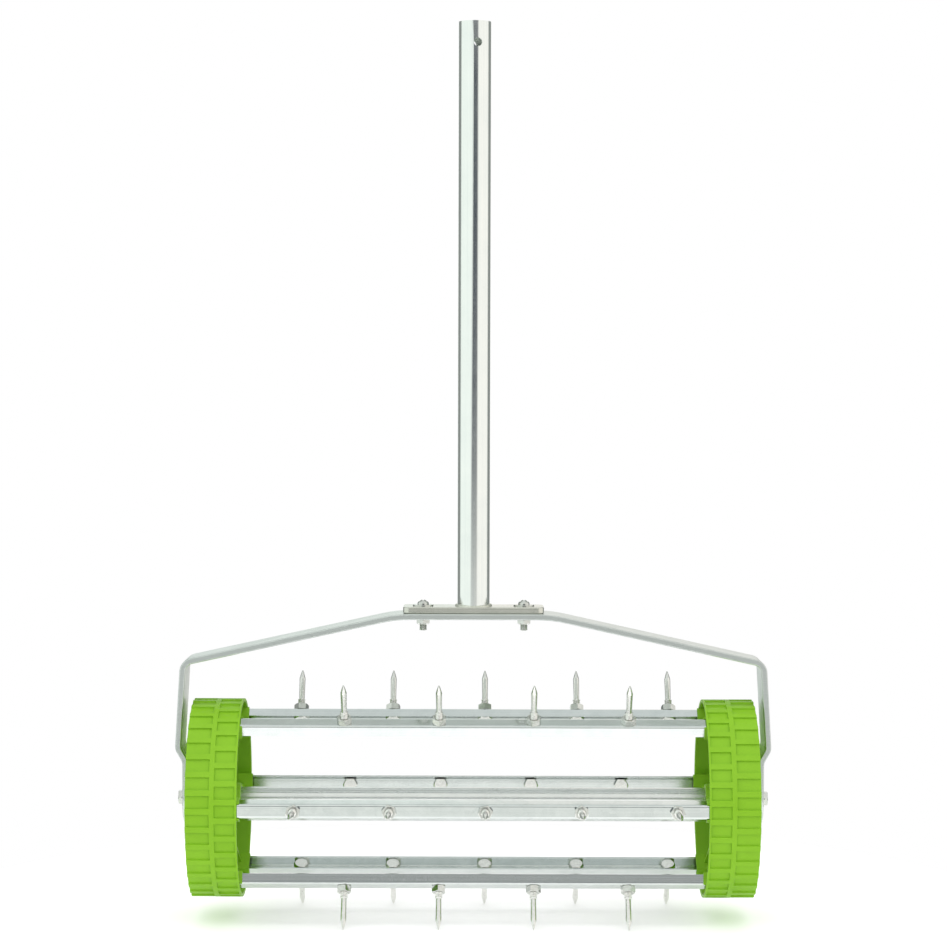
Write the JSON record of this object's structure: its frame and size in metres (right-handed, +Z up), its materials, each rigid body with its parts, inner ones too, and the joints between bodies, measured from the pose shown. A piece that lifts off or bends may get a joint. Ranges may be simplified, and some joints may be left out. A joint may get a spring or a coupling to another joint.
{
  "type": "rolling lawn aerator",
  "caption": "Rolling spiked lawn aerator: a drum of steel channel rails with bolted spikes between two ribbed plastic wheels, turning in a bent-bar yoke under a tubular handle.",
  "frame": {"origin": "on the ground, level with the lowest spike tips, straight below the middle of the axle", "axes": "+Z up along the handle tube, +X along the axle, -Y towards the front"},
  "size_m": [0.4584, 0.215, 0.6926],
  "materials": {
    "zinc_tube": "bright zinc plate",
    "zinc_plate": "zinc plate over a welded steel plate",
    "yoke_steel": "satin zinc plate",
    "zinc_fasteners": "bright zinc plate",
    "axle_steel": "galvanised",
    "green_plastic": "moulded, slight sheen",
    "galvanised_rail": "galvanised sheet",
    "spike_steel": "bright zinc plate"
  },
  "bodies": {
    "handle_frame": {"handle_tube": "zinc_tube", "tube_weld": "zinc_plate", "handle_plate": "zinc_plate", "plate_screws": "zinc_fasteners", "plate_washers": "zinc_fasteners", "plate_nuts": "zinc_fasteners", "yoke_bar": "yoke_steel", "axle_tube": "axle_steel", "left_axle_insert": "zinc_fasteners", "right_axle_insert": "zinc_fasteners", "left_axle_washer": "zinc_fasteners", "right_axle_washer": "zinc_fasteners", "left_axle_bolt": "zinc_fasteners", "right_axle_bolt": "zinc_fasteners", "left_thrust_washer": "zinc_fasteners", "right_thrust_washer": "zinc_fasteners"},
    "drum": {"left_wheel": "green_plastic", "right_wheel": "green_plastic", "rail_1": "galvanised_rail", "spikes_1": "spike_steel", "spike_nuts_1": "zinc_fasteners", "rail_2": "galvanised_rail", "spikes_2": "spike_steel", "spike_nuts_2": "zinc_fasteners", "rail_3": "galvanised_rail", "spikes_3": "spike_steel", "spike_nuts_3": "zinc_fasteners", "rail_4": "galvanised_rail", "spikes_4": "spike_steel", "spike_nuts_4": "zinc_fasteners", "rail_5": "galvanised_rail", "spikes_5": "spike_steel", "spike_nuts_5": "zinc_fasteners", "rail_6": "galvanised_rail", "spikes_6": "spike_steel", "spike_nuts_6": "zinc_fasteners"}
  },
  "joints": [
    {"name": "drum_spin", "type": "hinge", "parent": "handle_frame", "child": "drum", "pos_m": [0, 0, 0.0931], "axis": [1, 0, 0], "continuous": true}
  ]
}
